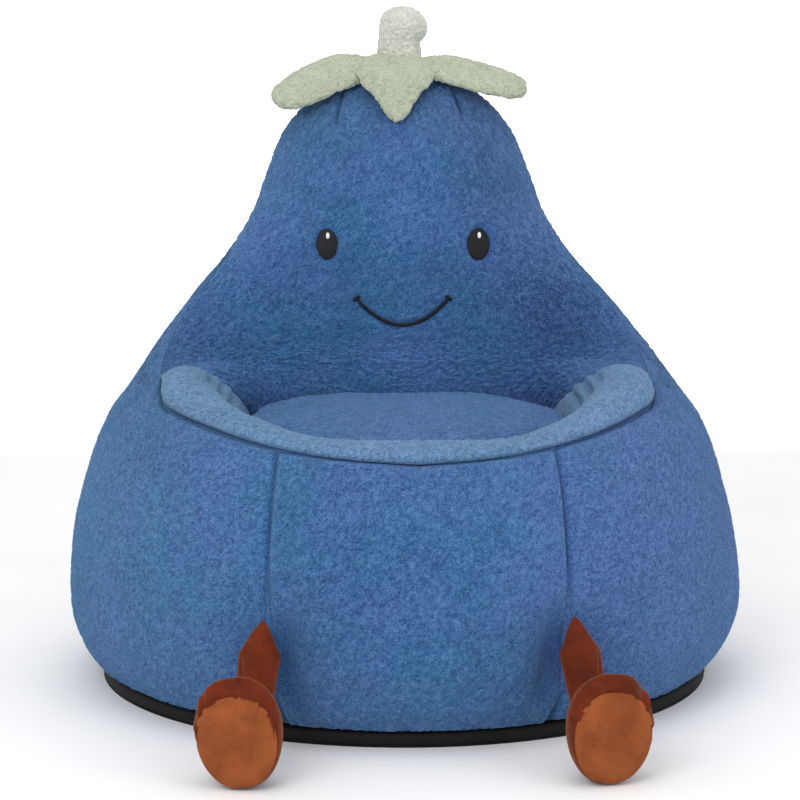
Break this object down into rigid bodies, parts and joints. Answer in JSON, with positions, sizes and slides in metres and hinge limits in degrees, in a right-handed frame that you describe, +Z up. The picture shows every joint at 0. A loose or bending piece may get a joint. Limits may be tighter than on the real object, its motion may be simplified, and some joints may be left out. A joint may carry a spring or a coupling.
{
  "type": "bean bag chair",
  "caption": "Plush bean bag chair shaped like an aubergine, with a sunken round seat, a tall tapering back with a smiling face, stuffed legs and a leafy crown.",
  "frame": {"origin": "on the floor under the middle of the round base", "axes": "+X to the left hand of someone sitting in the chair, -Y to the front, +Z up"},
  "size_m": [0.9238, 1.0595, 0.9102],
  "materials": {
    "plush_blue": "matte",
    "oxford_black": "matte",
    "liner_cloth": "matte",
    "bead_fill": "matte",
    "fibre_fill": "matte",
    "thread_black": "satin",
    "thread_white": "satin",
    "velour_brown": "matte",
    "velour_tan": "matte",
    "plush_sage": "matte",
    "zip_nylon": "satin",
    "zip_metal": "satin"
  },
  "bodies": {
    "chair": {"base_panel": "oxford_black", "base_band": "oxford_black", "front_panel": "plush_blue", "left_side_panel": "plush_blue", "right_side_panel": "plush_blue", "left_back_panel": "plush_blue", "right_back_panel": "plush_blue", "face_panel": "plush_blue", "rim_band": "plush_blue", "well_deck": "plush_blue", "crown_patch": "plush_blue", "seat_cushion_cover": "plush_blue", "seat_cushion_pad": "fibre_fill", "seat_liner_wall": "liner_cloth", "seat_liner_floor": "liner_cloth", "seat_liner_top": "liner_cloth", "seat_bead_fill": "bead_fill", "bolster_bead_fill": "bead_fill", "back_bead_fill": "bead_fill", "left_eye": "thread_black", "right_eye": "thread_black", "left_eye_glint": "thread_white", "right_eye_glint": "thread_white", "smile": "thread_black", "calyx_hub": "plush_sage", "zip_tape": "oxford_black", "zip_chain": "zip_nylon", "zip_stops": "zip_metal"},
    "left_leg_body": {"left_leg": "velour_brown", "left_leg_filling": "fibre_fill"},
    "right_leg_body": {"right_leg": "velour_brown", "right_leg_filling": "fibre_fill"},
    "left_foot": {"left_foot_upper": "velour_brown", "left_foot_sole": "velour_tan", "left_foot_filling": "fibre_fill"},
    "right_foot": {"right_foot_upper": "velour_brown", "right_foot_sole": "velour_tan", "right_foot_filling": "fibre_fill"},
    "front_leaf_body": {"front_leaf": "plush_sage"},
    "left_leaf_body": {"left_leaf": "plush_sage"},
    "right_leaf_body": {"right_leaf": "plush_sage"},
    "left_rear_leaf_body": {"left_rear_leaf": "plush_sage"},
    "right_rear_leaf_body": {"right_rear_leaf": "plush_sage"},
    "stem_body": {"stem": "plush_sage", "stem_filling": "fibre_fill"},
    "zip_slider_body": {"zip_slider": "zip_metal"},
    "zip_pull_body": {"zip_pull": "zip_metal"}
  },
  "joints": [
    {"name": "left_hip", "type": "hinge", "parent": "chair", "child": "left_leg_body", "pos_m": [0.188, -0.425, 0.165], "axis": [-1, 0, 0], "range_deg": [0, 55]},
    {"name": "left_ankle", "type": "hinge", "parent": "left_leg_body", "child": "left_foot", "pos_m": [0.2054, -0.5116, 0.0682], "axis": [-1, 0, 0], "range_deg": [0, 10], "stiffness_Nm_per_rad": 0.1},
    {"name": "right_hip", "type": "hinge", "parent": "chair", "child": "right_leg_body", "pos_m": [-0.188, -0.425, 0.165], "axis": [-1, 0, 0], "range_deg": [0, 55]},
    {"name": "right_ankle", "type": "hinge", "parent": "right_leg_body", "child": "right_foot", "pos_m": [-0.2054, -0.5116, 0.0682], "axis": [-1, 0, 0], "range_deg": [0, 10], "stiffness_Nm_per_rad": 0.1},
    {"name": "front_leaf_hinge", "type": "hinge", "parent": "chair", "child": "front_leaf_body", "pos_m": [0, 0.16777, 0.834], "axis": [-1, 0, 0], "range_deg": [0, 30], "stiffness_Nm_per_rad": 0.02},
    {"name": "left_leaf_hinge", "type": "hinge", "parent": "chair", "child": "left_leaf_body", "pos_m": [0.05638, 0.20725, 0.834], "axis": [-0.342, -0.9397, 0], "range_deg": [0, 30], "stiffness_Nm_per_rad": 0.02},
    {"name": "right_leaf_hinge", "type": "hinge", "parent": "chair", "child": "right_leaf_body", "pos_m": [-0.05638, 0.20725, 0.834], "axis": [-0.342, 0.9397, 0], "range_deg": [0, 30], "stiffness_Nm_per_rad": 0.02},
    {"name": "left_rear_leaf_hinge", "type": "hinge", "parent": "chair", "child": "left_rear_leaf_body", "pos_m": [0.04728, 0.26471, 0.834], "axis": [0.6157, -0.788, 0], "range_deg": [0, 30], "stiffness_Nm_per_rad": 0.02},
    {"name": "right_rear_leaf_hinge", "type": "hinge", "parent": "chair", "child": "right_rear_leaf_body", "pos_m": [-0.04728, 0.26471, 0.834], "axis": [0.6157, 0.788, 0], "range_deg": [0, 30], "stiffness_Nm_per_rad": 0.02},
    {"name": "stem_tilt", "type": "hinge", "parent": "chair", "child": "stem_body", "pos_m": [0, 0.22777, 0.841], "axis": [0, 1, 0], "range_deg": [-12, 12], "stiffness_Nm_per_rad": 0.05},
    {"name": "zip_travel", "type": "hinge", "parent": "chair", "child": "zip_slider_body", "pos_m": [0, 0, 0.0101], "axis": [0, 0, 1], "range_deg": [-116.8, 0]},
    {"name": "zip_pull_swing", "type": "hinge", "parent": "zip_slider_body", "child": "zip_pull_body", "pos_m": [-0.36105, 0.22212, 0.0101], "axis": [0, 0, 1], "range_deg": [0, 180]}
  ]
}
